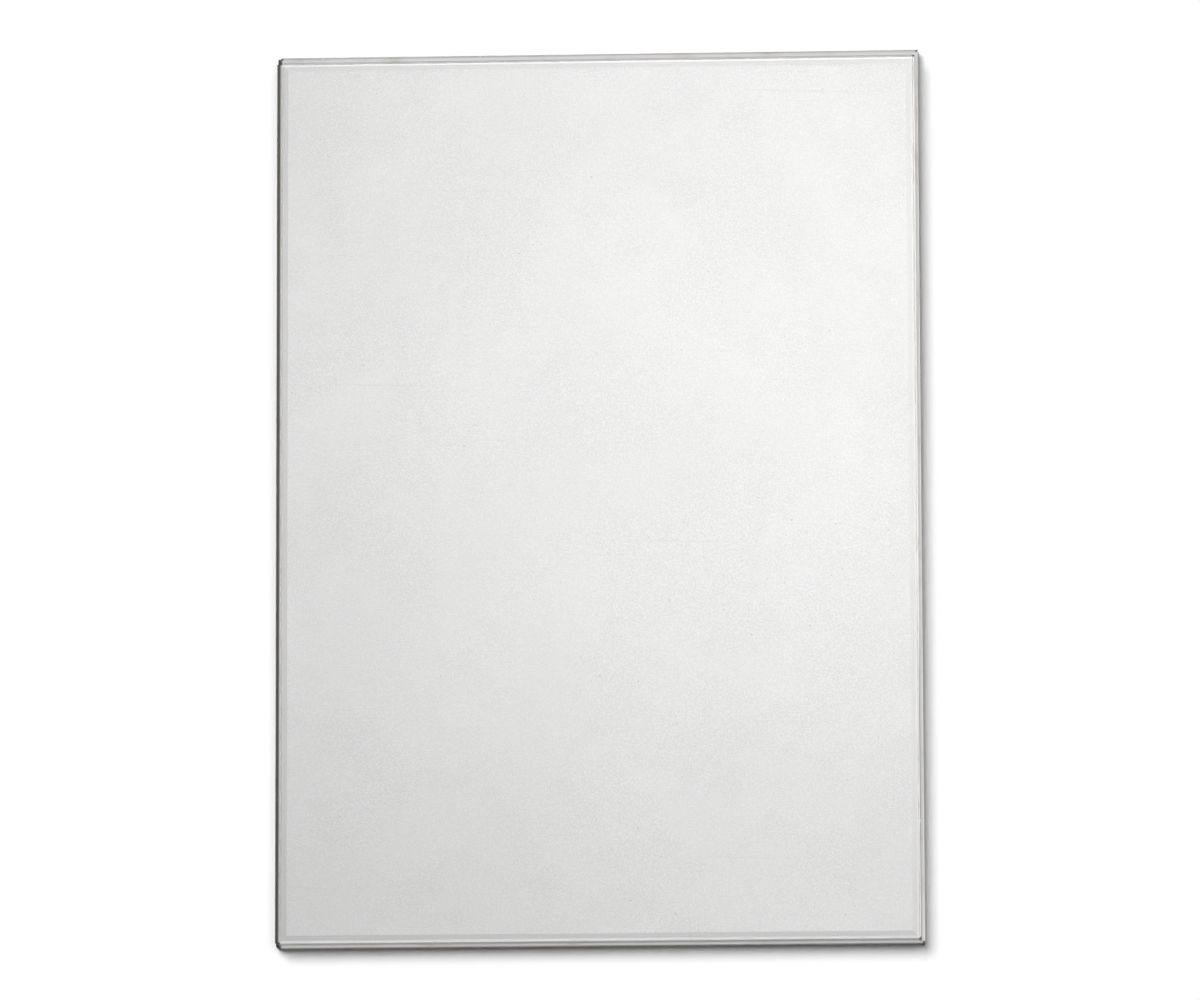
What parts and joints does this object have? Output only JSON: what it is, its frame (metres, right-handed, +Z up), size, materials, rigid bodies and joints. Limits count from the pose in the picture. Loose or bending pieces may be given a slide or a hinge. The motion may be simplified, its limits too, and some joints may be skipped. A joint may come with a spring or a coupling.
{
  "type": "negative carrier",
  "caption": "Book-form glass negative carrier: frosted and clear glass leaves in thin mitred metal rims, joined along one long side by a cloth tape and opening flat to take a sheet film.",
  "frame": {"origin": "centre of the closed carrier's base, on the surface that it lies on", "axes": "+X from the hinged long side to the free long side, +Y to the head along the hinge, +Z up through the leaves"},
  "size_m": [0.127, 0.1778, 0.0052],
  "materials": {
    "frosted_glass": "fine etched, matt",
    "clear_glass": "polished",
    "rail": "satin, fine drawn grain along each rail",
    "bedding": "matt",
    "spacer": "bright shim strip",
    "tape": "close-woven bookbinding cloth"
  },
  "bodies": {
    "lower_leaf": {"lower_glass": "clear_glass", "lower_rail_hinge": "rail", "lower_rail_free": "rail", "lower_rail_head": "rail", "lower_rail_foot": "rail", "lower_bedding_hinge": "bedding", "lower_bedding_free": "bedding", "lower_bedding_head": "bedding", "lower_bedding_foot": "bedding", "spacer_hinge": "spacer", "spacer_free": "spacer", "spacer_head": "spacer", "spacer_foot": "spacer", "spine_tape_lower": "tape"},
    "upper_leaf": {"upper_glass": "frosted_glass", "upper_rail_hinge": "rail", "upper_rail_free": "rail", "upper_rail_head": "rail", "upper_rail_foot": "rail", "upper_bedding_hinge": "bedding", "upper_bedding_free": "bedding", "upper_bedding_head": "bedding", "upper_bedding_foot": "bedding", "spine_tape_upper": "tape"}
  },
  "joints": [
    {"name": "leaf_hinge", "type": "hinge", "parent": "lower_leaf", "child": "upper_leaf", "pos_m": [-0.06355, 0, 0.00259], "axis": [0, -1, 0], "range_deg": [0, 179.9]}
  ]
}
